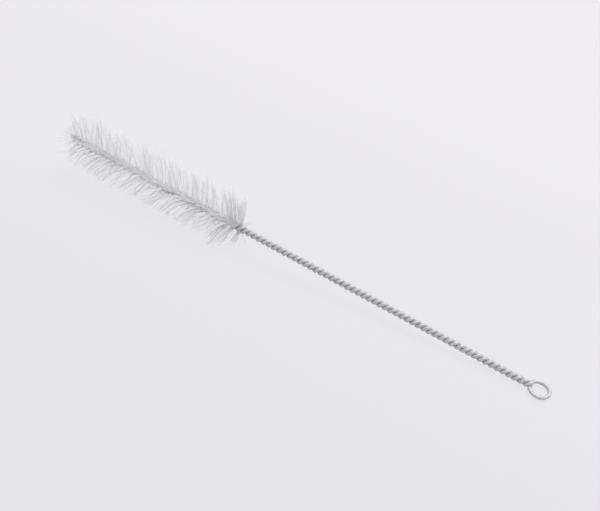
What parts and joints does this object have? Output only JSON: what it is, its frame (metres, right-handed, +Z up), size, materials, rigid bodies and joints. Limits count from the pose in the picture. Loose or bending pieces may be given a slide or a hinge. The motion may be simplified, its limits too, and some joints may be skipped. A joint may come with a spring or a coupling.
{
  "type": "bottle brush",
  "caption": "Slim cleaning brush: nylon filaments gripped in a twisted galvanised wire stem that ends in a round hanging eye, for narrow bottles and test tubes.",
  "frame": {"origin": "centre of the footprint of the brush as it lies, on the surface that it lies on", "axes": "+X along the stem's shadow towards the hanging eye, +Y to the side, +Z up from the surface"},
  "size_m": [0.2722, 0.0252, 0.0305],
  "materials": {
    "galvanised_wire": "drawn and zinc coated, satin grey",
    "nylon_filament": "translucent white monofilament"
  },
  "bodies": {
    "root": {"twisted_wire": "galvanised_wire", "bristles": "nylon_filament"}
  },
  "joints": []
}
